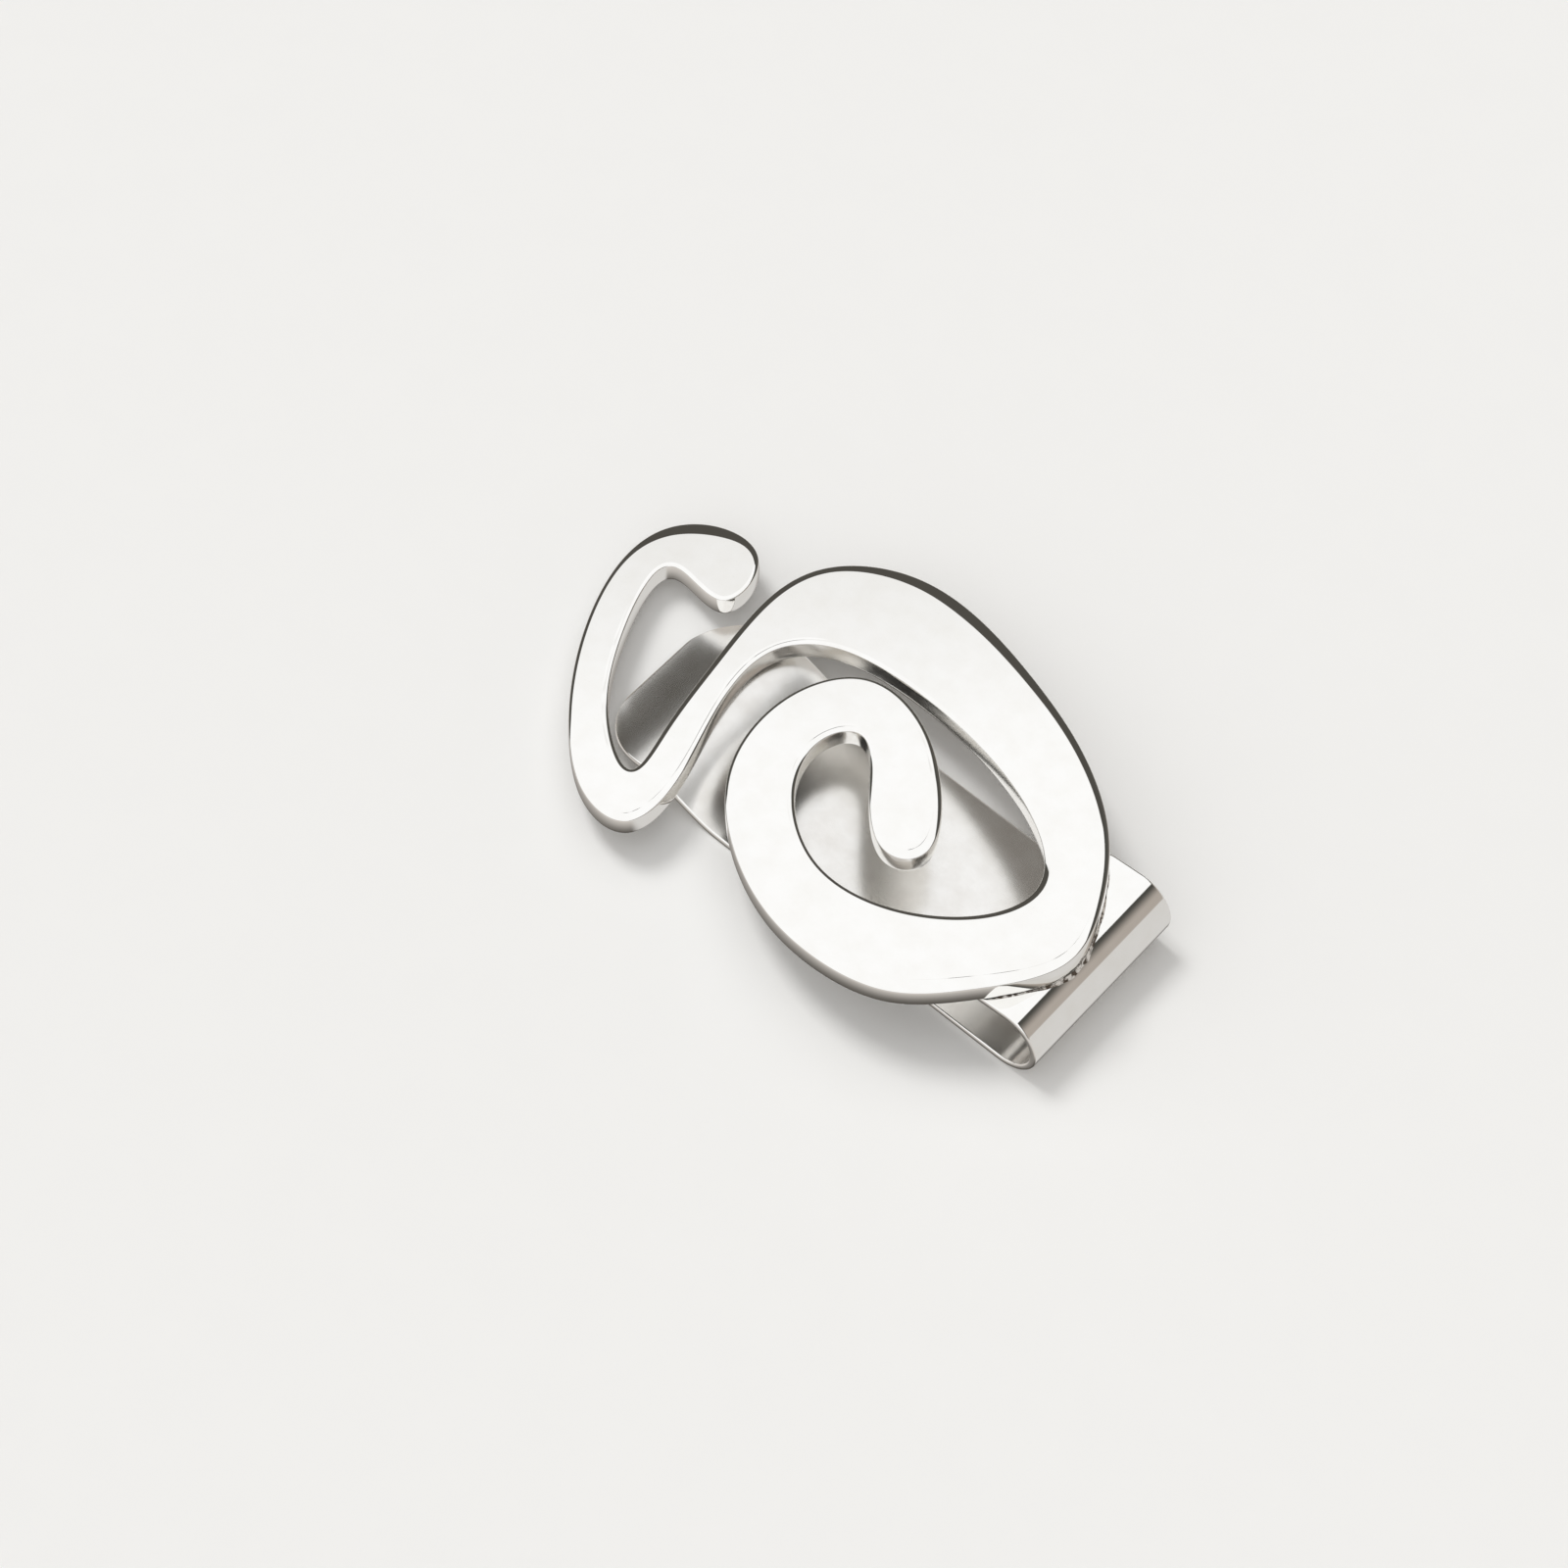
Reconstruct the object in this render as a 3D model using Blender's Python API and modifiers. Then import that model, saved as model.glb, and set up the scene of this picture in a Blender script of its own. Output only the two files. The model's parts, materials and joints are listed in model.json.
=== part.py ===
"""Money clip: a serpentine plate of silver, hard-soldered onto one bent spring band.

World frame, metres: +Z up, X along the clip from its mouth to its bend, Y along the bend.
The clip lies closed on its flat back leg. The band flexes at the bend, so it is made as two
pieces that part at the bend's outermost line, and the front jaw turns about the bend.
"""
import math

import bmesh
import bpy
from mathutils import Vector

MM = 0.001

# The plate: its outline is a closed cubic B-spline through these control points, in millimetres.
# They run from the head of the stroke, round its outer side to the curled inner tip, and back.
PLATE_THICK = 2.3
SHOULDER_WIDTH = 0.7
SHOULDER_DROP = 0.25
OUTLINE_STEPS = 4
OUTLINE = [
    # head, left flank and the low turn under it
    (-21.5, 16.3), (-28.5, 17.2), (-34.1, 12.7), (-34.0, 4.6), (-30.1, -4.8), (-24.5, -12.8),
    (-17.6, -19.2), (-10.0, -19.6), (-10.4, -10.8), (-14.1, -1.6), (-15.3, 7.4), (-9.9, 12.4),
    # inner side of the wide arc, then of the floor of the spiral
    (-0.2, 12.8), (9.7, 11.5), (18.9, 8.3), (25.6, 2.5), (22.9, -4.7), (14.8, -10.2),
    (6.0, -11.1), (-1.2, -5.9), (-4.4, 1.5), (-0.4, 6.9),
    # curled tongue at the centre of the spiral
    (4.8, -1.2), (10.3, -6.1), (15.3, -2.2), (9.0, 6.3), (1.8, 11.1), (-5.6, 11.6),
    # outer side of the spiral and of the wide arc
    (-9.9, 4.8), (-9.8, -3.9), (-5.9, -11.0), (2.5, -16.9), (10.9, -19.1), (20.8, -18.2),
    (26.6, -12.0), (33.4, -3.9), (30.7, 3.9), (26.1, 11.7), (17.7, 17.8), (8.8, 21.4),
    (-1.3, 24.5), (-10.1, 24.6), (-17.6, 19.8), (-19.6, 12.5),
    # upper side of the slanting stroke and inner side of the head
    (-17.8, 2.0), (-16.4, -7.1), (-13.6, -15.5), (-21.5, -10.3), (-26.1, -3.7), (-30.3, 6.3),
    (-29.6, 10.3), (-20.5, 6.6),
]

# The band: one strip of spring-hard silver.
BAND_WIDTH = 21.6
BAND_THICK = 0.75
BEND_RADIUS = 4.15          # outside of the bend
BEND_X = 30.0               # bend's axis, in the outline's coordinates
TAB_LENGTH = 4.6            # flat of the band under the plate
TAB_CORNER = 1.5
LEG_FLAT = 36.0             # flat of the back leg, which lies on the table
RIDGE_HEIGHT = 2.2
RIDGE_PERIOD = 19.0         # one full wave of the contact ridge
RIDGE_SHARE = 0.92          # the strip is cut off before the wave ends, so its tip is raised
LEG_CORNER = 7.0
EDGE_BREAK = 0.12

# How the pieces meet.
JAW_TILT = math.radians(6.3)    # closed: the plate leans down onto the contact ridge
SEAM = 0.15                     # plate to band
BEND_SPLIT = 0.4                # between the two halves of the band, at the bend
SOLDER_RADIUS = 0.28
SOLDER_GAP = 0.12               # bead to plate and to band
SOLDER_SPANS = (34.25, 36.75)   # stretch of the outline along which the bead runs
SOLDER_POINTS = 13

# The model's own origin is under the middle of its bounding box.
ORIGIN_X = -0.02
ORIGIN_Y = 2.65

SILVER = (0.93, 0.92, 0.90, 1.0)
SOLDER = (0.78, 0.75, 0.70, 1.0)


def clear_scene():
    for obj in list(bpy.data.objects):
        bpy.data.objects.remove(obj, do_unlink=True)


def collection(name):
    found = bpy.data.collections.new(name)
    bpy.context.scene.collection.children.link(found)
    return found


def material(name, colour, roughness):
    made = bpy.data.materials.new(name)
    made.use_nodes = True
    shader = made.node_tree.nodes["Principled BSDF"]
    shader.inputs["Base Color"].default_value = colour
    shader.inputs["Metallic"].default_value = 1.0
    shader.inputs["Roughness"].default_value = roughness
    return made


def empty(name, where, parent=None, tilt=0.0):
    made = bpy.data.objects.new(name, None)
    made.location = where
    made.rotation_euler = (0.0, tilt, 0.0)
    made.parent = parent
    parts.objects.link(made)
    return made


def mesh_object(name, work, finish, parent):
    """A named object from a finished bmesh, smooth but for its sharp edges."""
    mesh = bpy.data.meshes.new(name)
    work.to_mesh(mesh)
    work.free()
    mesh.materials.append(finish)
    mesh.shade_smooth()
    mesh.set_sharp_from_angle(angle=math.radians(50.0))
    made = bpy.data.objects.new(name, mesh)
    made.parent = parent
    parts.objects.link(made)
    return made


def curve_solid(curve):
    """A curve's own solid as a bmesh, with its caps welded to its sides."""
    holder = bpy.data.objects.new("curve_holder", curve)
    parts.objects.link(holder)
    graph = bpy.context.evaluated_depsgraph_get()
    mesh = bpy.data.meshes.new_from_object(holder.evaluated_get(graph))
    bpy.data.objects.remove(holder, do_unlink=True)
    work = bmesh.new()
    work.from_mesh(mesh)
    bpy.data.meshes.remove(mesh)
    bmesh.ops.remove_doubles(work, verts=work.verts, dist=1e-6)
    bmesh.ops.recalc_face_normals(work, faces=work.faces)
    return work


def new_curve(name, kind, points):
    curve = bpy.data.curves.new(name, "CURVE")
    curve.dimensions = "3D"
    spline = curve.splines.new(kind)
    spline.points.add(len(points) - 1)
    for knot, point in zip(spline.points, points):
        knot.co = (*point, 1.0)
    return curve


def serpentine_plate():
    """Flat underside, upright wall, then a shoulder that slopes up to the flat top."""
    wall = (PLATE_THICK - SHOULDER_DROP) * MM
    points = [((x - BEND_X) * MM, y * MM, 0.0) for x, y in OUTLINE]
    curve = new_curve("plate_outline", "NURBS", points)
    curve.splines[0].order_u = 4
    curve.splines[0].use_cyclic_u = True
    curve.resolution_u = OUTLINE_STEPS
    curve.dimensions = "2D"
    curve.fill_mode = "BOTH"
    curve.extrude = wall / 2
    work = curve_solid(curve)
    bmesh.ops.translate(work, verts=work.verts, vec=(0.0, 0.0, wall / 2))
    top = [face for face in work.faces if face.calc_center_median().z > 0.99 * wall]
    top = bmesh.ops.dissolve_faces(work, faces=top)["region"]
    bmesh.ops.inset_region(work, faces=top, use_boundary=True, use_even_offset=True,
                           thickness=SHOULDER_WIDTH * MM, depth=0.0)
    flat = {vert for face in top for vert in face.verts}
    bmesh.ops.translate(work, verts=list(flat), vec=(0.0, 0.0, SHOULDER_DROP * MM))
    bmesh.ops.triangulate(work, faces=work.faces)
    plate = mesh_object("serpentine_plate", work, silver, jaw_level)
    plate.location.z = (BEND_RADIUS + SEAM) * MM
    return plate


def half_width(from_end, corner):
    """Half the strip's width at a distance from an end whose corners are rounded."""
    if from_end >= corner:
        return BAND_WIDTH / 2
    return BAND_WIDTH / 2 - corner + math.sqrt(corner ** 2 - (corner - from_end) ** 2)


def strip(name, stations, parent):
    """A strip of the band: a grid laid along (x, z, half width) stations, then thickened."""
    columns = 6
    work = bmesh.new()
    bmesh.ops.create_grid(work, x_segments=len(stations) - 1, y_segments=columns, size=1.0)
    for vert in work.verts:
        row = round((vert.co.x + 1.0) / 2.0 * (len(stations) - 1))
        x, z, half = stations[row]
        vert.co = Vector((x * MM, vert.co.y * half * MM, z * MM))
    bmesh.ops.recalc_face_normals(work, faces=work.faces)
    band = mesh_object(name, work, silver, parent)
    thick = band.modifiers.new("strip_thickness", "SOLIDIFY")
    thick.thickness = BAND_THICK * MM
    thick.offset = 0.0
    thick.use_even_offset = True
    soften = band.modifiers.new("broken_edges", "BEVEL")
    soften.width = EDGE_BREAK * MM
    soften.segments = 1
    soften.limit_method = "ANGLE"
    soften.angle_limit = math.radians(60.0)
    return band


def bend_arc(start, end, steps):
    """Stations round the bend, between two angles counted from its outermost line."""
    radius = BEND_RADIUS - BAND_THICK / 2
    return [(radius * math.cos(angle), radius * math.sin(angle), BAND_WIDTH / 2)
            for angle in (start + (end - start) * step / steps for step in range(steps + 1))]


def rounded_end(length, corner, steps):
    """Distances from a rounded end, closer together where the corner is tightest."""
    nearest = 0.02 * corner
    turn = [nearest + (corner - nearest) * (1.0 - math.cos(math.radians(90.0) * k / steps))
            for k in range(steps)]
    return [value for value in turn if value < length]


def front_band():
    """Tab and upper half of the bend, level in the jaw's own frame."""
    level = BEND_RADIUS - BAND_THICK / 2
    ends = [*rounded_end(TAB_LENGTH, TAB_CORNER, 3), TAB_CORNER]
    tab = [(distance - TAB_LENGTH, level, half_width(distance, TAB_CORNER)) for distance in ends]
    split = BEND_SPLIT / 2 / level
    return strip("front_band", tab + bend_arc(math.radians(90.0), split, 9), jaw_level)


def leg_height(run):
    """Height of the leg's middle surface, at a distance from the start of its flat."""
    wave = max(0.0, run - LEG_FLAT) / RIDGE_PERIOD
    return BAND_THICK / 2 + RIDGE_HEIGHT / 2 * (1.0 - math.cos(2.0 * math.pi * wave))


def back_band():
    """Lower half of the bend and the back leg, which lies flat and ends in a contact ridge."""
    middle = BEND_RADIUS - BAND_THICK / 2
    split = BEND_SPLIT / 2 / middle
    length = LEG_FLAT + RIDGE_PERIOD * RIDGE_SHARE
    ends = rounded_end(length, LEG_CORNER, 7)
    runs = [LEG_FLAT * k / 3 for k in range(1, 4)]
    ridge_steps = 12
    ridge_end = length - LEG_CORNER
    runs += [LEG_FLAT + (ridge_end - LEG_FLAT) * k / ridge_steps for k in range(1, ridge_steps + 1)]
    runs += [length - distance for distance in reversed(ends)]
    stations = bend_arc(-split, math.radians(-90.0), 9)
    stations += [(-run, leg_height(run) - BEND_RADIUS, half_width(length - run, LEG_CORNER))
                 for run in runs]
    return strip("back_band", stations, bend_axis)


def outline_point(place):
    """A point of the outline's B-spline; place counts its spans from the first point."""
    first = math.floor(place)
    f = place - first
    weights = ((1 - f) ** 3 / 6, (3 * f ** 3 - 6 * f ** 2 + 4) / 6,
               (-3 * f ** 3 + 3 * f ** 2 + 3 * f + 1) / 6, f ** 3 / 6)
    knots = [OUTLINE[(first - 1 + k) % len(OUTLINE)] for k in range(4)]
    return Vector([sum(w * knot[axis] for w, knot in zip(weights, knots)) for axis in range(2)])


def solder_bead():
    """The bead of solder along the plate's foot, where the band runs out from under it."""
    rise = BEND_RADIUS + SOLDER_GAP + SOLDER_RADIUS
    first, last = SOLDER_SPANS
    points = []
    for step in range(SOLDER_POINTS):
        place = first + (last - first) * step / (SOLDER_POINTS - 1)
        along = outline_point(place + 0.05) - outline_point(place - 0.05)
        outward = Vector((along.y, -along.x)).normalized() * (SOLDER_GAP + SOLDER_RADIUS)
        x, y = outline_point(place) + outward
        points.append(((x - BEND_X) * MM, y * MM, rise * MM))
    curve = new_curve("solder_path", "POLY", points)
    curve.bevel_depth = SOLDER_RADIUS * MM
    curve.bevel_resolution = 1
    curve.use_fill_caps = True
    return mesh_object("solder_bead", curve_solid(curve), solder, jaw_level)


clear_scene()
parts = collection("money_clip")
silver = material("polished_silver", SILVER, 0.08)
solder = material("silver_solder", SOLDER, 0.25)

# The bend's axis stands at its radius above the table; the strip flexes about the middle of
# the bend's arc, which lies outside that axis.
flex_reach = (BEND_RADIUS - BAND_THICK / 2) * 2.0 / math.pi
bend_axis = empty("bend_axis", ((BEND_X - ORIGIN_X) * MM, -ORIGIN_Y * MM, BEND_RADIUS * MM))
front_jaw = empty("front_jaw", (flex_reach * MM, 0.0, 0.0), bend_axis)
jaw_level = empty("jaw_level", (-flex_reach * MM, 0.0, 0.0), front_jaw, -JAW_TILT)

serpentine_plate()
front_band()
back_band()
solder_bead()
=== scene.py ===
"""Money clip of polished sterling silver: the looks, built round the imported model."""
import json
import math

import bmesh
import bpy
import numpy as np
from mathutils import Matrix, Vector
from mathutils.geometry import delaunay_2d_cdt


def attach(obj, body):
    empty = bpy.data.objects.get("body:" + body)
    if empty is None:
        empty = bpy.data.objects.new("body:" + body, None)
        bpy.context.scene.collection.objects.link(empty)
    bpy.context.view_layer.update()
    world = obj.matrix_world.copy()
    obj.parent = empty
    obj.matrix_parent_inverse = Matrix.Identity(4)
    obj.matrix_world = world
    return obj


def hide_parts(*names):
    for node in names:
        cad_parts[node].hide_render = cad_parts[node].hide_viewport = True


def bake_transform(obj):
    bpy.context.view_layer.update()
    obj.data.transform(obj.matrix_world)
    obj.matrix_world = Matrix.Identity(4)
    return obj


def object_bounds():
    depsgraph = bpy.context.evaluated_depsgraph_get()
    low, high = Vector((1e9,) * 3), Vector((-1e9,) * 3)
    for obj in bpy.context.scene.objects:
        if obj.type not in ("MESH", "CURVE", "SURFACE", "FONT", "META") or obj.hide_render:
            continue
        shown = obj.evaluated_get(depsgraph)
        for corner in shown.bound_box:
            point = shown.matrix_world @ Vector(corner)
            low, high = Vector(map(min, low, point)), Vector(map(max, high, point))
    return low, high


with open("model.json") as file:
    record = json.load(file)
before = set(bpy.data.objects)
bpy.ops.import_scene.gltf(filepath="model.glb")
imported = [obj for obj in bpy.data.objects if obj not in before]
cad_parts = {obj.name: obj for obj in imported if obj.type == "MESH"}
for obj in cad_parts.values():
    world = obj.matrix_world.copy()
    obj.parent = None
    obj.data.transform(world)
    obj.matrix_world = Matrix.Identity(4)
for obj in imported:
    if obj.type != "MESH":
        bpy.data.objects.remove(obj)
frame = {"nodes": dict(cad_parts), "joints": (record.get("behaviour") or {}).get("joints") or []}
cad_low, cad_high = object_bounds()


# ---------------------------------------------------------------------------------------------
# The serpentine plate: sheet silver 2.3 mm thick, sawn out, its wall filed upright and its top
# edge worked down to a sloping shoulder by hand, so the shoulder is broad on some stretches and
# narrow on others. It is hard-soldered to the band and polished to a mirror.
# ---------------------------------------------------------------------------------------------
MM = 0.001
WELD = 1e-6                     # metres within which two corners are one
PLATE_THICK = 2.3
BAND_THICK = 0.75
OUTLINE_FINENESS = 6            # steps between two neighbouring points of the CAD outline
SLOPE_AT_TOP = math.tan(math.radians(13.0))     # the shoulder is crowned: shallow at the crease
SLOPE_AT_EDGE = math.tan(math.radians(23.0))    # and steeper where it meets the wall
USUAL_WIDTH = 0.7
CREASE = 0.07                   # half the breadth of the soft crease between top and shoulder
EDGE_RADIUS = 0.14
FOOT_RADIUS = 0.10
UNDERSIDE_INSET = 0.5           # the flat of the underside is filled from here inwards
WALL_HEIGHT = PLATE_THICK - 0.4
WALL_LEAN = math.radians(5.0)   # filing leaves the wall a little bellied
WALL_BELLY = math.tan(WALL_LEAN) * WALL_HEIGHT / 4
FILE_MARK = 0.07                # depth of the broken lines that the file bit beside the crease
FILE_GROOVE = ((0.01, 0.0), (0.19, 1.0), (0.27, 0.0), (0.33, 0.0))  # (in from the crease, depth)
FILED_FROM = 0.45               # the file bit where the edge faces the bend at least this much
FILED_FADE = 3.0
PATCH_SEED = 1918               # long patches where it was pressed hard
PATCH_STRETCH = 40
PATCH_SHARE = 0.4
BREAK_SEED = 6                  # short breaks in each line
BREAK_STRETCH = 4
BREAK_SHARE = 0.6
SHOULDER_WIDTHS = [
    # (x, y) beside the outline, measured from the bend's axis, and the shoulder's width there
    ((-51.2, 13.0), 0.4), ((-54.5, 16.4), 0.75), ((-58.0, 16.5), 1.5), ((-61.2, 15.2), 1.7),
    ((-63.2, 12.2), 1.35), ((-64.0, 8.0), 0.6), ((-63.4, 3.5), 0.4), ((-55.0, -12.0), 0.4),
    ((-46.5, -18.6), 0.5), ((-40.9, -17.5), 0.85), ((-40.6, -11.0), 0.6), ((-43.5, -2.5), 0.42),
    ((-43.6, 7.0), 0.4), ((-30.0, 12.4), 0.4), ((-14.0, 9.5), 0.42), ((-6.4, 1.5), 0.7),
    ((-7.7, -4.3), 0.6), ((-19.0, -9.7), 0.42), ((-27.5, -8.0), 0.35), ((-33.2, -1.5), 0.65),
    ((-33.2, 3.0), 0.5), ((-25.4, 0.0), 0.4), ((-20.0, -4.4), 0.6), ((-16.0, -3.4), 1.0),
    ((-18.5, 3.5), 0.75), ((-24.5, 9.5), 0.4), ((-35.0, 10.5), 0.35), ((-39.3, 2.0), 0.35),
    ((-37.5, -8.0), 0.35), ((-28.0, -16.5), 0.45), ((-14.0, -18.6), 0.9), ((-7.0, -16.0), 1.4),
    ((-2.0, -10.0), 1.2), ((1.4, -4.0), 0.95), ((0.5, 4.0), 0.72), ((-6.5, 14.0), 0.75),
    ((-17.0, 19.6), 0.9), ((-25.0, 22.8), 1.15), ((-33.0, 24.2), 1.45), ((-40.0, 23.4), 1.35),
    ((-45.5, 19.0), 0.85), ((-48.4, 10.0), 0.7), ((-46.8, -2.0), 0.58), ((-47.2, -13.0), 0.4),
    ((-55.0, -5.0), 0.3), ((-59.5, 5.0), 0.4), ((-56.0, 9.2), 0.4),
]


def underside_faces(plate):
    """The CAD plate as a welded bmesh, and its faces that look down."""
    work = bmesh.new()
    work.from_mesh(plate.data)
    bmesh.ops.remove_doubles(work, verts=work.verts, dist=WELD)
    work.normal_update()
    return work, [face for face in work.faces if face.normal.z < -0.9]


def ordered_boundary(faces):
    """The vertices round the edge of a patch of faces, in order."""
    patch = set(faces)
    after = {}
    for face in faces:
        for loop in face.loops:
            if loop.link_loop_radial_next.face not in patch:
                after[loop.vert] = loop.link_loop_next.vert
    start = next(iter(after))
    ring = [start]
    while after[ring[-1]] is not start:
        ring.append(after[ring[-1]])
    return ring


def finer_loop(points, fineness):
    """A closed cubic B-spline that passes through the points: its points and unit tangents."""
    count = len(points)
    turns = 2.0 * np.pi * np.arange(count) / count
    weight = 6.0 / (4.0 + 2.0 * np.cos(turns))
    knots = np.fft.ifft(np.fft.fft(points, axis=0) * weight[:, None], axis=0).real
    place = np.arange(count * fineness) / fineness
    first = np.floor(place).astype(int)
    f = (place - first)[:, None]
    around = [knots[(first + k) % count] for k in (-1, 0, 1, 2)]
    at = ((1 - f) ** 3, 3 * f ** 3 - 6 * f ** 2 + 4, -3 * f ** 3 + 3 * f ** 2 + 3 * f + 1, f ** 3)
    slope = (-(1 - f) ** 2, 3 * f ** 2 - 4 * f, -3 * f ** 2 + 2 * f + 1, f ** 2)
    line = sum(w * knot for w, knot in zip(at, around)) / 6.0
    tangent = sum(w * knot for w, knot in zip(slope, around))
    return line, tangent / np.linalg.norm(tangent, axis=1)[:, None]


def pointing_out(line, tangents):
    """Unit vectors that point out of a closed line, square to its tangents."""
    x, y = line.T
    turns_left = np.sum(x * np.roll(y, -1) - np.roll(x, -1) * y) > 0.0
    return np.stack([tangents[:, 1], -tangents[:, 0]], axis=1) * (1.0 if turns_left else -1.0)


def widths_along(line, places):
    """A value for each point of a closed line, eased between the places where it is given."""
    spots = np.array([spot for spot, _ in places])
    nearest = np.argmin(np.linalg.norm(line[:, None] - spots[None], axis=2), axis=0)
    order = np.argsort(nearest)
    values = np.array([value for _, value in places])[order]
    between = np.interp(np.arange(len(line)), nearest[order], values, period=len(line))
    softness = 12
    kernel = np.hanning(2 * softness + 1)
    padded = np.concatenate([between[-softness:], between, between[:softness]])
    return np.convolve(padded, kernel / kernel.sum(), "valid")


def wandering(seed, count, stretch):
    """Seeded values round a closed line, changing gradually from one stretch to the next."""
    values = np.random.default_rng(seed).normal(size=count // stretch)
    return np.interp(np.arange(count) / stretch, range(len(values)), values, period=len(values))


def file_marks(facing):
    """Depth of the file's lines round the outline, from how far each spot faces the bend."""
    count = len(facing)
    side = np.clip((facing - FILED_FROM) * FILED_FADE, 0.0, 1.0)
    pressed = np.clip(PATCH_SHARE + wandering(PATCH_SEED, count, PATCH_STRETCH), 0.0, 1.0)
    unbroken = wandering(BREAK_SEED, count, BREAK_STRETCH)
    broken = np.clip(BREAK_SHARE + BREAK_SHARE * unbroken, 0.0, 1.0)
    return FILE_MARK * side * pressed * broken


def plate_rings(width, mark):
    """(inset, height) of each ring of the plate, from the underside up to the flat of the top."""
    none = np.zeros_like(width)
    upright = math.pi / 2 - WALL_LEAN
    easing = np.clip(np.sqrt(USUAL_WIDTH / width), 0.65, 1.15)      # a broad shoulder is shallower
    slope_at_top = SLOPE_AT_TOP * easing
    slope_at_edge = SLOPE_AT_EDGE * easing

    def drop(inset):
        out = width - inset
        return slope_at_top * out + (slope_at_edge - slope_at_top) * out ** 2 / (2 * width)

    def rounded(radius, turn):
        return none + WALL_BELLY + radius * (math.cos(WALL_LEAN) - np.sin(turn))

    yield none + UNDERSIDE_INSET, 0.0
    yield none + 3.0 * FOOT_RADIUS, 0.0
    for turn in np.linspace(0.0, upright, 5):
        yield rounded(FOOT_RADIUS, turn), FOOT_RADIUS * (1.0 - math.cos(turn))
    brink_turn = np.arctan(slope_at_edge)
    brink = rounded(EDGE_RADIUS, brink_turn)
    centre = PLATE_THICK - drop(brink) - EDGE_RADIUS * np.cos(brink_turn)
    low = FOOT_RADIUS * (1.0 - math.cos(upright))
    high = centre + EDGE_RADIUS * math.cos(upright)
    for share in np.linspace(-0.8, 0.8, 7):
        yield none + WALL_BELLY * share ** 2, low + (high - low) * (1.0 + share) / 2
    for turn in np.linspace(upright, brink_turn, 7):
        yield rounded(EDGE_RADIUS, turn), centre + EDGE_RADIUS * np.cos(turn)
    for share in (0.1, 0.3, 0.5, 0.7, 0.9):
        inset = brink + (width - CREASE - brink) * share
        yield inset, PLATE_THICK - drop(inset)
    for along in (1.0, 0.5, 0.0, -0.5, -1.0):
        crown = (slope_at_edge - slope_at_top) * (CREASE * max(along, 0.0)) ** 2 / (2 * width)
        fall = slope_at_top * CREASE * ((1.0 + along) / 2.0) ** 2 + crown
        yield width - CREASE * along, PLATE_THICK - fall
    for across, depth in FILE_GROOVE:
        yield width + CREASE + across, PLATE_THICK - mark * depth


def fill_flat(work, row, plan):
    """Triangles over a flat ring of vertices; plan is the ring seen from above, in millimetres."""
    filled = delaunay_2d_cdt([Vector(spot) for spot in plan], [], [range(len(plan))], 1, 1e-6)
    source = filled[3]
    for corners in filled[2]:
        work.faces.new([row[source[corner][0]] for corner in corners])


def loft(name, rings, plans=None):
    """A closed mesh from rings of points: quads between them, and a cap at each end."""
    work = bmesh.new()
    rows = [[work.verts.new(point) for point in ring] for ring in rings]
    for lower, upper in zip(rows, rows[1:]):
        for k in range(len(lower)):
            work.faces.new((lower[k - 1], lower[k], upper[k], upper[k - 1]))
    if plans:
        for row, plan in zip((rows[0], rows[-1]), plans):
            fill_flat(work, row, plan)
    else:
        caps = [work.faces.new(list(reversed(rows[0]))), work.faces.new(rows[-1])]
        bmesh.ops.triangulate(work, faces=caps)
    bmesh.ops.recalc_face_normals(work, faces=work.faces)
    mesh = bpy.data.meshes.new(name)
    work.to_mesh(mesh)
    work.free()
    mesh.shade_smooth()
    made = bpy.data.objects.new(name, mesh)
    bpy.context.scene.collection.objects.link(made)
    return made


def in_jaw(points, height):
    """Points of the jaw's own frame, in millimetres, as places in the world."""
    heights = np.broadcast_to(height, len(points))
    return [jaw @ (Vector((px, py, pz)) * MM) for (px, py), pz in zip(points, heights)]


# The jaw's own frame: the closed clip's plate leans from the bend down to the back leg, so the
# plate and the tab under it are made level, about the bend's axis, and then leaned.
jaw_hinge = Vector(frame["joints"][0]["pos_m"])
bend_radius = jaw_hinge.z / MM                      # outside of the bend, in mm
middle_radius = bend_radius - BAND_THICK / 2
flex_reach = middle_radius * 2.0 / math.pi          # the strip flexes this far outside the axis
bend_axis = jaw_hinge - Vector((flex_reach * MM, 0.0, 0.0))
cad_plate, underside = underside_faces(frame["nodes"]["serpentine_plate"])
down = sum((face.normal * face.calc_area() for face in underside), Vector())
jaw_lean = math.atan2(down.x, -down.z)
jaw = Matrix.Translation(bend_axis) @ Matrix.Rotation(-jaw_lean, 4, "Y")

foot = [jaw.inverted() @ vert.co / MM for vert in ordered_boundary(underside)]
cad_plate.free()
plate_level = foot[0].z                             # height of the underside in the jaw's frame
outline, along = finer_loop(np.array([(p.x, p.y) for p in foot]), OUTLINE_FINENESS)
outward = pointing_out(outline, along)
shoulder = widths_along(outline, SHOULDER_WIDTHS)
levels = [(outline - outward * inset[:, None], height)
          for inset, height in plate_rings(shoulder, file_marks(outward[:, 0]))]
plate = loft("plate", [in_jaw(plan, plate_level + height) for plan, height in levels],
             plans=(levels[0][0], levels[-1][0]))


POLISHED = (0.97, 0.965, 0.95, 1.0)
POLISHED_TONED = (0.94, 0.93, 0.905, 1.0)
HAIRLINE_RUNS = ((25.0, 900.0), (-40.0, 1300.0))    # (degrees round, fineness) of two sets
HAIRLINE_DEPTH = 0.0000012


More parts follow.
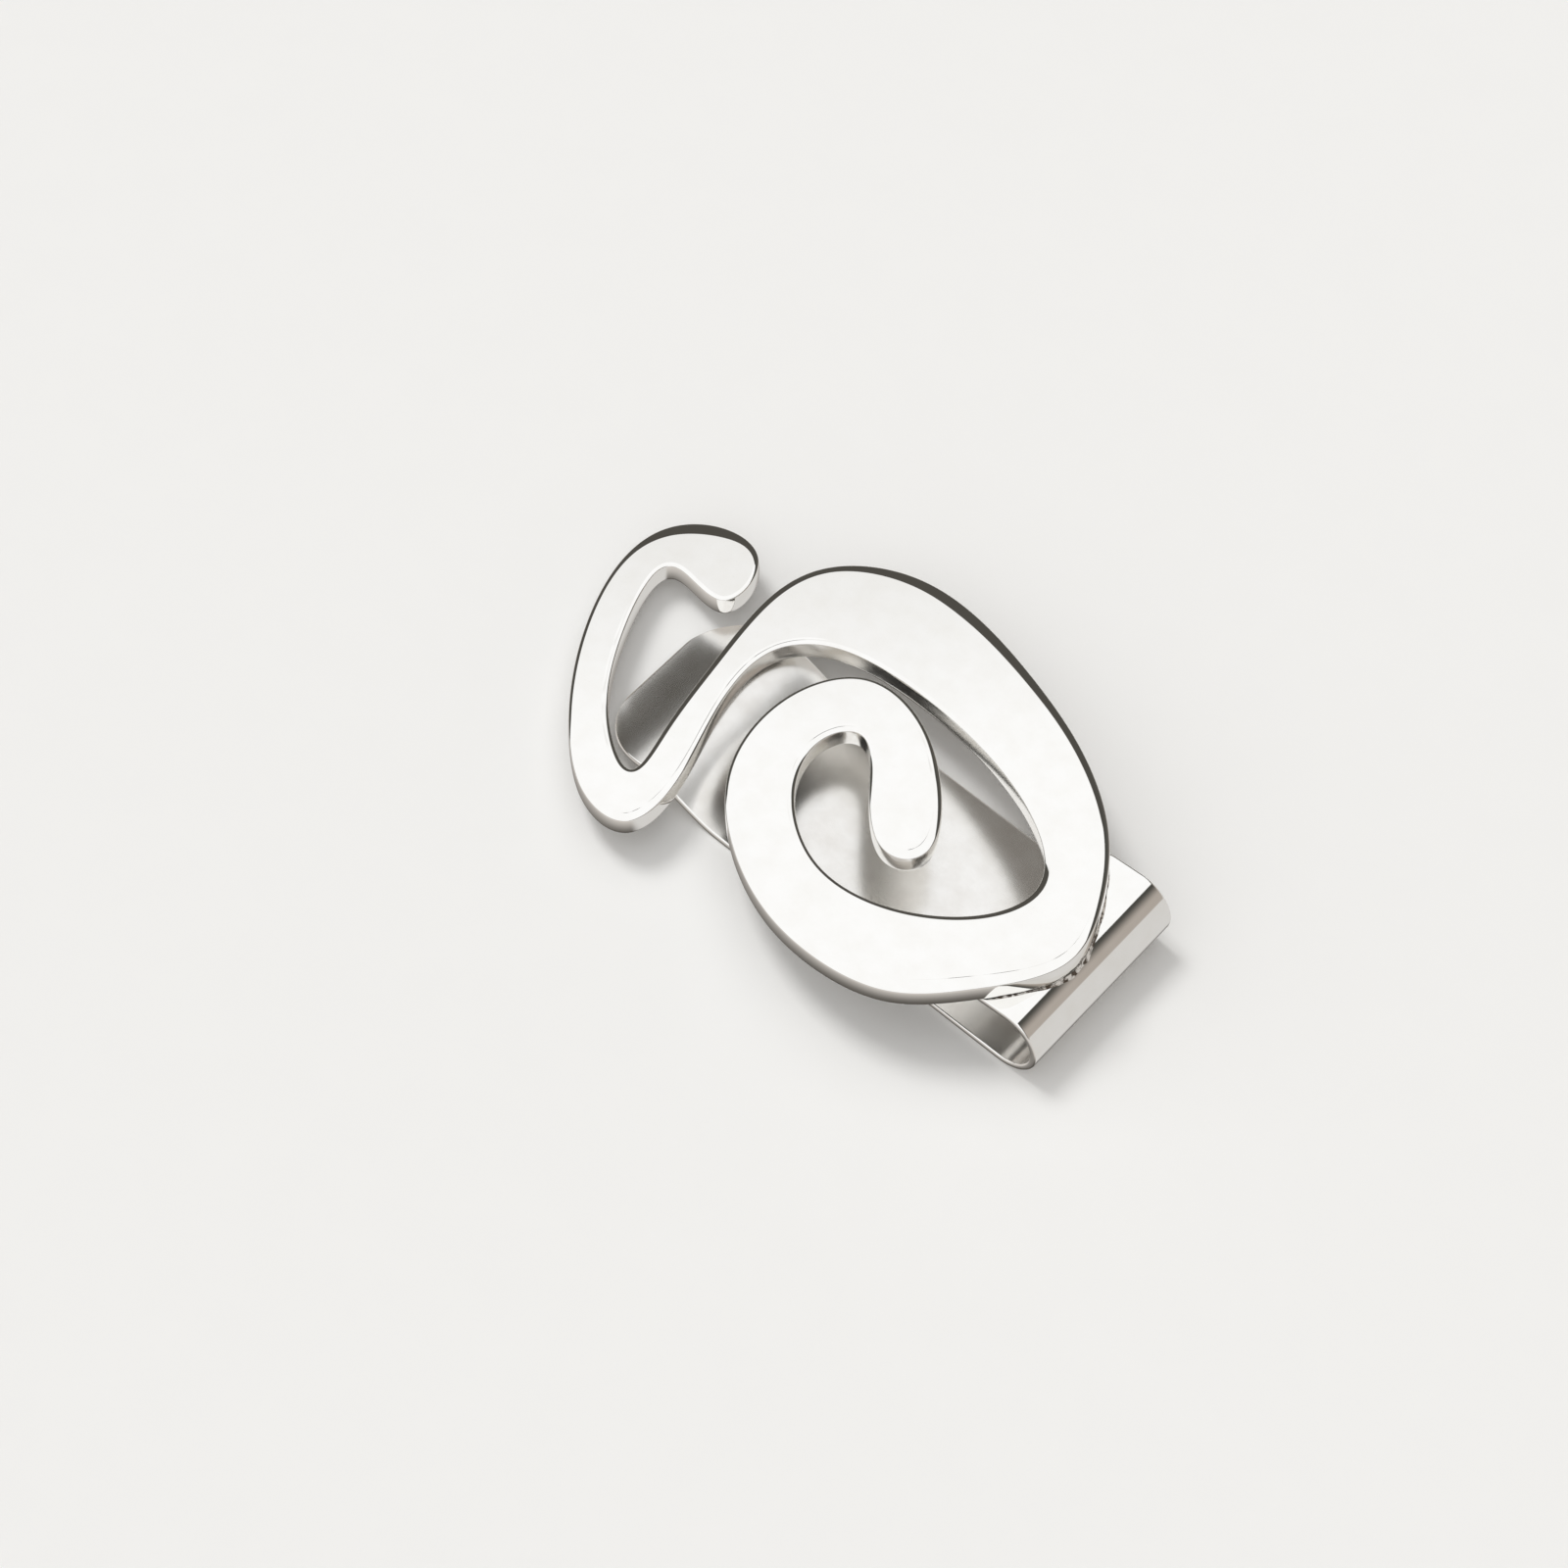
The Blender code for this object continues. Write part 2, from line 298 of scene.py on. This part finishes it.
def node_group(name, inputs, outputs):
    """An empty shader group with its input and output sockets, and its two end nodes."""
    group = bpy.data.node_groups.new(name, "ShaderNodeTree")
    for label, kind, value in inputs:
        socket = group.interface.new_socket(label, in_out="INPUT", socket_type=kind)
        if value is not None:
            socket.default_value = value
    for label, kind in outputs:
        group.interface.new_socket(label, in_out="OUTPUT", socket_type=kind)
    return group, group.nodes.new("NodeGroupInput"), group.nodes.new("NodeGroupOutput")


def add(tree, kind, sockets=None, **settings):
    """A node with its settings and socket values; a socket's value may be another's output."""
    node = tree.nodes.new("ShaderNode" + kind)
    for name, value in settings.items():
        setattr(node, name, value)
    for name, value in (sockets or {}).items():
        if isinstance(value, bpy.types.NodeSocket):
            tree.links.new(value, node.inputs[name])
        else:
            node.inputs[name].default_value = value
    return node


def polish_group():
    """What a buffing wheel leaves: long low waves, and hairline scratches with their own mask."""
    group, given, result = node_group(
        "buffed_metal",
        [("Wave Height", "NodeSocketFloat", 0.000004), ("Hairlines", "NodeSocketFloat", 0.5),
         ("Haze Scale", "NodeSocketFloat", 420.0)],
        [("Normal", "NodeSocketVector"), ("Hairline Mask", "NodeSocketFloat"),
         ("Haze Mask", "NodeSocketFloat")])
    place = add(group, "TexCoord").outputs["Object"]
    waves = add(group, "TexNoise", {"Vector": place, "Scale": 110.0, "Detail": 1.0})
    waved = add(group, "Bump", {"Height": waves.outputs[0], "Strength": 1.0,
                                "Distance": given.outputs["Wave Height"]})
    masks = []
    for turn, scale in HAIRLINE_RUNS:
        stretched = add(group, "Mapping", {"Vector": place, "Scale": (0.03, 1.0, 0.03),
                                           "Rotation": (0.0, 0.0, math.radians(turn))})
        lines = add(group, "TexNoise", {"Vector": stretched.outputs[0], "Scale": scale,
                                        "Detail": 2.0, "Roughness": 0.6})
        sharp = add(group, "MapRange", {"Value": lines.outputs[0], "From Min": 0.66,
                                        "From Max": 0.74})
        masks.append(sharp.outputs[0])
    both = add(group, "Math", {0: masks[0], 1: masks[1]}, operation="MAXIMUM")
    patches = add(group, "TexNoise", {"Vector": place, "Scale": 160.0, "Detail": 2.0})
    sparse = add(group, "MapRange", {"Value": patches.outputs[0], "From Min": 0.45,
                                     "From Max": 0.7})
    thinned = add(group, "Math", {0: both.outputs[0], 1: sparse.outputs[0]}, operation="MULTIPLY")
    weighed = add(group, "Math", {0: thinned.outputs[0], 1: given.outputs["Hairlines"]},
                  operation="MULTIPLY")
    scratched = add(group, "Bump", {"Height": weighed.outputs[0], "Strength": 1.0,
                                    "Distance": HAIRLINE_DEPTH, "Normal": waved.outputs[0]})
    group.links.new(scratched.outputs[0], result.inputs["Normal"])
    group.links.new(weighed.outputs[0], result.inputs["Hairline Mask"])
    haze = add(group, "TexNoise", {"Vector": place, "Scale": given.outputs["Haze Scale"],
                                   "Detail": 4.0})
    group.links.new(haze.outputs[0], result.inputs["Haze Mask"])
    return group


buffed_metal = polish_group()


def silver(name, colour, toned, gloss, dull, wave_height, hairlines, haze_scale=420.0,
           clear=0.35, thick=0.75):
    """Polished silver: toned where the haze is thick, duller in its hairlines."""
    made = bpy.data.materials.new(name)
    made.use_nodes = True
    tree = made.node_tree
    shader = tree.nodes["Principled BSDF"]
    shader.inputs["Metallic"].default_value = 1.0
    finish = tree.nodes.new("ShaderNodeGroup")
    finish.node_tree = buffed_metal
    finish.inputs["Wave Height"].default_value = wave_height
    finish.inputs["Hairlines"].default_value = hairlines
    finish.inputs["Haze Scale"].default_value = haze_scale
    haze = add(tree, "MapRange", {"Value": finish.outputs["Haze Mask"], "From Min": clear,
                                  "From Max": thick})
    tone = add(tree, "Mix", {"Factor": haze.outputs[0], "A": colour, "B": toned},
               data_type="RGBA")
    tree.links.new(tone.outputs["Result"], shader.inputs["Base Color"])
    rough = add(tree, "MapRange", {"Value": finish.outputs["Hairline Mask"], "To Min": gloss,
                                   "To Max": dull})
    tree.links.new(rough.outputs[0], shader.inputs["Roughness"])
    tree.links.new(finish.outputs["Normal"], shader.inputs["Normal"])
    return made


plate.data.materials.append(silver("polished_plate", POLISHED, POLISHED_TONED, gloss=0.03,
                                   dull=0.16, wave_height=0.000003, hairlines=0.2))
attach(plate, "front_jaw")
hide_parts("serpentine_plate")


# ---------------------------------------------------------------------------------------------
# The spring band: one strip of work-hardened silver. Its tab lies under the plate, it turns
# round through the bend, and its long leg lies flat, then rises in a ridge that presses on the
# plate and ends in a raised round tip. Its edges are rubbed round.
# ---------------------------------------------------------------------------------------------
BAND_WIDTH = 21.6
BAND_EDGE = 0.18
TAB_LENGTH = 4.6
TAB_CORNER = 1.5
LEG_FLAT = 36.0
RIDGE_HEIGHT = 2.2
RIDGE_PERIOD = 19.0             # one full wave of the ridge
RIDGE_SHARE = 0.92              # the strip ends before the wave does, so its tip is raised
LEG_LENGTH = LEG_FLAT + RIDGE_PERIOD * RIDGE_SHARE
LEG_CORNER = 7.0
CORNER_STEPS = 22
RIDGE_STEPS = 40
BEND_STEPS = 96
TAB_STEPS = 12
BEND_EASE = 0.03                # the bend is a hair less deep than it is tall
SUPPORT = 0.05                  # narrow rows beside an edge keep the broad faces flat
INNER_FACE = -0.49 * BAND_THICK     # deeper than this is the face towards the notes
SATIN = (0.93, 0.92, 0.90, 1.0)
SATIN_TONED = (0.84, 0.82, 0.79, 1.0)


def leg_place(run):
    """(x, height) of the leg's middle surface, at a distance from the bend, and its slope."""
    wave = 2.0 * math.pi * max(0.0, run - LEG_FLAT) / RIDGE_PERIOD
    height = RIDGE_HEIGHT / 2 * (1.0 - math.cos(wave))
    slope = RIDGE_HEIGHT / 2 * math.sin(wave) * 2.0 * math.pi / RIDGE_PERIOD
    return -run, BAND_THICK / 2 - bend_radius + height, math.atan(slope)


def eased(start, end, steps):
    """Distances from start to end, closer together near the start."""
    return [start + (end - start) * (1.0 - math.cos(math.radians(90.0) * k / steps))
            for k in range(steps + 1)]


def stations():
    """(x, z, direction of the outer side, distance from the end, corner) down the strip."""
    ridge_end = LEG_LENGTH - LEG_CORNER
    runs = [LEG_LENGTH - distance for distance in eased(0.0, LEG_CORNER, CORNER_STEPS)]
    runs += list(np.linspace(ridge_end, LEG_FLAT, RIDGE_STEPS)[1:])
    runs += [LEG_FLAT - SUPPORT, LEG_FLAT / 2, SUPPORT]
    for run in runs:
        leg_x, leg_z, slope = leg_place(run)
        yield leg_x, leg_z, math.radians(-90.0) - slope, LEG_LENGTH - run, LEG_CORNER
    turn = math.radians(180.0) + jaw_lean
    for step in range(BEND_STEPS + 1):
        angle = math.radians(-90.0) + turn * step / BEND_STEPS
        reach = middle_radius - (BEND_EASE if math.cos(angle) > 0.0 else 0.0)
        yield (reach * math.cos(angle), middle_radius * math.sin(angle), angle,
               LEG_CORNER, LEG_CORNER)
    up = math.radians(90.0) + jaw_lean
    along_tab = Vector((-math.cos(jaw_lean), -math.sin(jaw_lean)))
    top = Vector((math.cos(up), math.sin(up))) * middle_radius
    for distance in [TAB_LENGTH - SUPPORT, *reversed(eased(0.0, TAB_CORNER, TAB_STEPS))]:
        spot = top + along_tab * (TAB_LENGTH - distance)
        yield spot.x, spot.y, up, distance, TAB_CORNER


def strip_section(from_end, corner):
    """The strip's cross-section: (across, through) points round a rounded rectangle."""
    half = BAND_WIDTH / 2
    if from_end < corner:
        half += math.sqrt(corner ** 2 - (corner - from_end) ** 2) - corner
    pinch = 0.0
    if from_end < BAND_EDGE:
        pinch = BAND_EDGE - math.sqrt(BAND_EDGE ** 2 - (BAND_EDGE - from_end) ** 2)
    deep = BAND_THICK / 2 - pinch
    radius = min(BAND_EDGE, deep)
    flat = half - radius
    rounding = np.radians(np.linspace(0.0, 90.0, 5))
    side = [(flat * share, deep) for share in (-0.5, 0.0, 0.5)] + [(flat - SUPPORT, deep)]
    side += [(flat + radius * math.sin(turn), deep - radius * (1.0 - math.cos(turn)))
             for turn in rounding]
    edge = [(flat + radius * math.cos(turn), -deep + radius * (1.0 - math.sin(turn)))
            for turn in rounding]
    edge.append((flat - SUPPORT, -deep))
    half_round = side + edge
    return half_round + [(-across, -through) for across, through in half_round]


def band_rings():
    """The strip's cross-section at each station, as places in the world."""
    for mid_x, mid_z, outer, from_end, corner in stations():
        lean_x, lean_z = math.cos(outer), math.sin(outer)
        yield [bend_axis + Vector((mid_x + lean_x * through, across, mid_z + lean_z * through)) * MM
               for across, through in strip_section(from_end, corner)]


band = loft("band", band_rings())
band.data.materials.append(silver("polished_band", POLISHED, POLISHED_TONED, gloss=0.045,
                                  dull=0.2, wave_height=0.00002, hairlines=0.25))
band.data.materials.append(silver("satin_band_inside", SATIN, SATIN_TONED, gloss=0.24,
                                  dull=0.34, wave_height=0.000003, hairlines=0.2))
section = strip_section(LEG_CORNER, LEG_CORNER)
inside_columns = [k for k in range(len(section))
                  if max(section[k - 1][1], section[k][1]) < INNER_FACE]
for face in band.data.polygons:
    if face.index % len(section) in inside_columns:
        face.material_index = 1
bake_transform(band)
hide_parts("front_band", "back_band")


# ---------------------------------------------------------------------------------------------
# The solder: hard silver solder that ran out along the plate's foot where the band comes out
# from under it. It is a thin uneven fillet, a little greyer than the silver, and left as it ran.
# ---------------------------------------------------------------------------------------------
FILLET_HEIGHT = (0.20, 0.60)
FILLET_REACH = (0.14, 0.46)
LEAST_HEIGHT = 0.06
LEAST_REACH = 0.05
LUMPINESS = 0.33
LUMP_SEED = 7
TAPER = 0.35                    # the smaller, the blunter the fillet's two ends
FILLET_END = 3.4                # past this x the band has dropped out of reach
SIDE_MARGIN = 0.4               # bare band left at each side
FACES_BEND = 0.2                # the solder lies where the plate's edge faces the bend
UNDER = 0.25                    # how far the solder runs in under the plate
INTO_PLATE = 0.04
BELOW_SKIN = 0.02               # its upper side starts this far below the band's skin
INTO_BAND = 0.08
SOLDER_TONE = (0.82, 0.79, 0.75, 1.0)
SOLDER_FLUX_STAIN = (0.10, 0.078, 0.06, 1.0)


def band_height(across):
    """Height of the band's upper side in the jaw's frame, at an x from the bend's axis."""
    return math.sqrt(bend_radius ** 2 - max(across, 0.0) ** 2)


def fillet_path():
    """Indices of the outline's points along which the solder shows, in order."""
    near = (outline[:, 0] > -TAB_LENGTH) & (outline[:, 0] < FILLET_END)
    held = np.flatnonzero(near & (np.abs(outline[:, 1]) < BAND_WIDTH / 2 - SIDE_MARGIN)
                          & (outward[:, 0] - outward[:, 1] > FACES_BEND))
    gap = int(np.argmax(np.diff(held))) if np.diff(held).max() > 1 else -1
    return np.concatenate([held[gap + 1:], held[:gap + 1]])


def fillet_rings():
    """The fillet's uneven cross-section at each point of its path, as places in the world."""
    path = fillet_path()
    taper = np.sin(np.linspace(0.0, math.pi, len(path))) ** TAPER
    wander = np.random.default_rng(LUMP_SEED).normal(size=(2, len(path) // 3 + 3))
    steps = np.linspace(0.0, wander.shape[1] - 1.001, len(path))
    for k, at in enumerate(path):
        rough = [np.interp(steps[k], range(wander.shape[1]), row) for row in wander]
        tall, wide = (low + (high - low) * (0.5 + LUMPINESS * lump)
                      for (low, high), lump in zip((FILLET_HEIGHT, FILLET_REACH), rough))
        tall = max(tall * taper[k], LEAST_HEIGHT)
        wide = max(wide * taper[k], LEAST_REACH)
        corners = [(-UNDER, 0.0), (-INTO_PLATE, 0.0), (-INTO_PLATE, tall)]
        for turn in np.radians((10.0, 35.0, 60.0, 85.0)):
            corners.append((wide * (1.0 - math.cos(turn)), tall * (1.0 - math.sin(turn))))
        corners += [(wide, BELOW_SKIN - INTO_BAND), (-UNDER, BELOW_SKIN - INTO_BAND)]
        ring = []
        for out, rise in corners:
            spot = outline[at] + outward[at] * out
            height = band_height(spot[0]) + rise - BELOW_SKIN
            ring.append(jaw @ (Vector((*spot, height)) * MM))
        yield ring


solder = loft("solder", fillet_rings())
solder.data.materials.append(silver("run_solder", SOLDER_TONE, SOLDER_FLUX_STAIN, gloss=0.22,
                                    dull=0.45, wave_height=0.00006, hairlines=1.0,
                                    haze_scale=1500.0, clear=0.44, thick=0.58))
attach(solder, "front_jaw")
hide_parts("solder_bead")


# ---------------------------------------------------------------------------------------------
# The floor: one wide sheet of matt off-white paper with a very fine grain. The clip lies on it
# loose, on the flat of its back leg.
# ---------------------------------------------------------------------------------------------
PAPER = (0.83, 0.825, 0.81, 1.0)
PAPER_GRAIN = tuple(c * 0.985 for c in PAPER[:3]) + (1.0,)
PAPER_SIZE = 6.0
bpy.ops.mesh.primitive_plane_add(size=PAPER_SIZE, location=(0.0, 0.0, cad_low.z))
floor = bpy.context.object
floor.name = "floor"
paper = bpy.data.materials.new("backdrop_paper")
paper.use_nodes = True
paper_shader = paper.node_tree.nodes["Principled BSDF"]
paper_shader.inputs["Roughness"].default_value = 0.9
paper_shader.inputs["Specular IOR Level"].default_value = 0.1
grain = add(paper.node_tree, "TexNoise", {"Scale": 900.0, "Detail": 3.0})
grain_tone = add(paper.node_tree, "Mix", {"Factor": grain.outputs[0], "A": PAPER,
                                          "B": PAPER_GRAIN}, data_type="RGBA")
paper.node_tree.links.new(grain_tone.outputs["Result"], paper_shader.inputs["Base Color"])
floor.data.materials.append(paper)
floor.visible_glossy = False


# ---------------------------------------------------------------------------------------------
# The camera and the studio: a camera on a long lens, a room with one big softbox overhead, and a
# broad soft light. Directions are given in the jaw's own frame, in which the plate is level.
# ---------------------------------------------------------------------------------------------
FILM = 36.0
FOCAL_LENGTH = 100.0
DISTANCE = 0.430
TARGET = (-32.5, -4.9, 6.60)    # the spot on the plate's top at which the camera looks
CAMERA_HEADING = math.radians(40.2)
CAMERA_RISE = math.radians(54.0)
level_right = Vector((math.cos(CAMERA_HEADING), math.sin(CAMERA_HEADING), 0.0))
level_away = Vector((-math.sin(CAMERA_HEADING), math.cos(CAMERA_HEADING), 0.0))
level_up = Vector((0.0, 0.0, 1.0))
turned = jaw.to_3x3()
right, away, up = (turned @ axis for axis in (level_right, level_away, level_up))
back = -math.cos(CAMERA_RISE) * away + math.sin(CAMERA_RISE) * up
camera_up = math.sin(CAMERA_RISE) * away + math.cos(CAMERA_RISE) * up
camera = bpy.data.objects.new("camera", bpy.data.cameras.new("camera"))
bpy.context.scene.collection.objects.link(camera)
camera.data.sensor_width = FILM
camera.data.lens = FOCAL_LENGTH
camera.data.clip_start = 0.01
camera.matrix_world = Matrix.Translation(jaw @ (Vector(TARGET) * MM) + back * DISTANCE) @ Matrix(
    (right, camera_up, back)).transposed().to_4x4()
bpy.context.scene.camera = camera

SOFTBOX = (1.01, 1.01, 1.01, 1.0)
SOFTBOX_FAR_END = (0.88, 0.875, 0.865, 1.0)
NEAR_HORIZON = (0.62, 0.61, 0.595, 1.0)
DARK_SIDE_WALL = (0.068, 0.066, 0.058, 1.0)
LIT_SIDE_WALL = (0.43, 0.385, 0.345, 1.0)
LOW_SIDE = (0.66, 0.645, 0.625, 1.0)
DARK_FAR_WALL = (0.078, 0.073, 0.064, 1.0)
SHADED_FLOOR = (0.10, 0.092, 0.082, 1.0)
LIT_FLOOR = (0.62, 0.585, 0.55, 1.0)
BACKDROP = (0.86, 0.85, 0.835, 1.0)
BOX_RIGHT_SIDE = 0.70           # how far the softbox reaches, per unit of height
BOX_FAR_SIDE = 0.93
BOX_BORDER = 0.01               # half the breadth of its soft border


def softbox_world():
    """The room that the silver mirrors: an overhead softbox and walls, and a pale backdrop."""
    world = bpy.data.worlds.new("studio")
    world.use_nodes = True
    tree = world.node_tree
    look = add(tree, "TexCoord").outputs["Generated"]

    def along_axis(axis):
        return add(tree, "VectorMath", {0: look, 1: axis}, operation="DOT_PRODUCT").outputs["Value"]

    def ramp(value, low, high, at_low=0.0, at_high=1.0):
        return add(tree, "MapRange", {"Value": value, "From Min": low, "From Max": high,
                                      "To Min": at_low, "To Max": at_high},
                   interpolation_type="SMOOTHSTEP").outputs[0]

    def combine(first, second, operation):
        return add(tree, "Math", {0: first, 1: second}, operation=operation).outputs[0]

    def mix(factor, first, second):
        return add(tree, "Mix", {"Factor": factor, "A": first, "B": second},
                   data_type="RGBA").outputs["Result"]

    x_right, y_away, z_up = (along_axis(axis) for axis in (right, away, up))
    past_right = combine(x_right, combine(z_up, BOX_RIGHT_SIDE, "MULTIPLY"), "SUBTRACT")
    past_far = combine(y_away, combine(z_up, BOX_FAR_SIDE, "MULTIPLY"), "SUBTRACT")
    in_box = combine(ramp(past_right, -BOX_BORDER, BOX_BORDER, 1.0, 0.0),
                     ramp(past_far, -BOX_BORDER, BOX_BORDER, 1.0, 0.0), "MULTIPLY")
    side_wall = mix(ramp(past_right, 0.06, 0.55), DARK_SIDE_WALL, LIT_SIDE_WALL)
    side = mix(ramp(z_up, 0.19, 0.25), LOW_SIDE, side_wall)
    far_wall = mix(ramp(y_away, 0.50, 0.80), side, DARK_FAR_WALL)
    softbox = mix(ramp(y_away, 0.59, 0.635), SOFTBOX, SOFTBOX_FAR_END)
    near_white = mix(ramp(z_up, 0.02, 0.42), NEAR_HORIZON, softbox)
    above = mix(in_box, far_wall, near_white)
    near_floor = mix(ramp(z_up, -0.93, -0.66), SHADED_FLOOR, LIT_FLOOR)
    below = mix(ramp(x_right, 0.20, 0.50), near_floor, LOW_SIDE)
    room = mix(ramp(z_up, -0.03, 0.03), below, above)
    seen_directly = add(tree, "LightPath").outputs["Is Camera Ray"]
    background = tree.nodes["Background"]
    tree.links.new(mix(seen_directly, room, BACKDROP), background.inputs["Color"])
    background.inputs["Strength"].default_value = 1.0
    return world


bpy.context.scene.world = softbox_world()


def soft_sun(name, toward, spread, strength):
    """A soft light from far off, which shines on the clip but is not mirrored in it."""
    lamp = bpy.data.lights.new(name, "SUN")
    lamp.angle = spread
    lamp.energy = strength
    made = bpy.data.objects.new(name, lamp)
    made.rotation_euler = toward.to_track_quat("Z", "Y").to_euler()
    made.visible_glossy = False
    bpy.context.scene.collection.objects.link(made)


soft_sun("key", -0.35 * right + 0.30 * away + 1.0 * up, math.radians(20.0), 1.2)

bpy.context.scene.view_settings.view_transform = "Standard"
